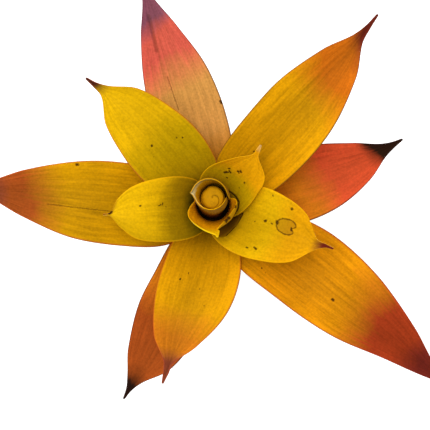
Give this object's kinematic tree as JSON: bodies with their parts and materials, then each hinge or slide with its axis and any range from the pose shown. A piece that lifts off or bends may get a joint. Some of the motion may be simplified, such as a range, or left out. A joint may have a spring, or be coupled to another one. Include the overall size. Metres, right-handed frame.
{
  "type": "guzmania kokedama",
  "caption": "Guzmania grown in a string-bound moss ball: star of yellow to red bracts round a rolled bud, on a short stem over green strap leaves.",
  "frame": {"origin": "centre of the small flat spot under the moss ball, on the surface it rests on", "axes": "+Z up along the ball and crown; +Y is up and +X is right in the picture, which looks straight down on the star of bracts"},
  "size_m": [0.227, 0.2019, 0.217],
  "materials": {
    "moss": "matte, tufted",
    "soil": "matte, crumbly",
    "twine": "matte, twisted jute",
    "stem": "satin",
    "leaf": "satin",
    "outer_bract": "waxy satin",
    "inner_bract": "waxy satin"
  },
  "bodies": {
    "root": {"moss_wrap": "moss", "soil_ball": "soil", "twine": "twine", "stem": "stem", "leaf_01": "leaf", "leaf_02": "leaf", "leaf_03": "leaf", "leaf_04": "leaf", "leaf_05": "leaf", "leaf_06": "leaf", "leaf_07": "leaf", "leaf_08": "leaf", "leaf_09": "leaf", "leaf_10": "leaf", "leaf_11": "leaf", "leaf_12": "leaf", "scape_bract_01": "stem", "scape_bract_02": "stem", "scape_bract_03": "stem", "bract_01": "outer_bract", "bract_02": "outer_bract", "bract_03": "outer_bract", "bract_04": "outer_bract", "bract_05": "outer_bract", "bract_06": "outer_bract", "bract_07": "outer_bract", "bract_08": "inner_bract", "bract_09": "inner_bract", "bract_10": "inner_bract", "bract_11": "inner_bract", "bract_12": "inner_bract", "bract_13": "inner_bract", "bud": "inner_bract"}
  },
  "joints": []
}
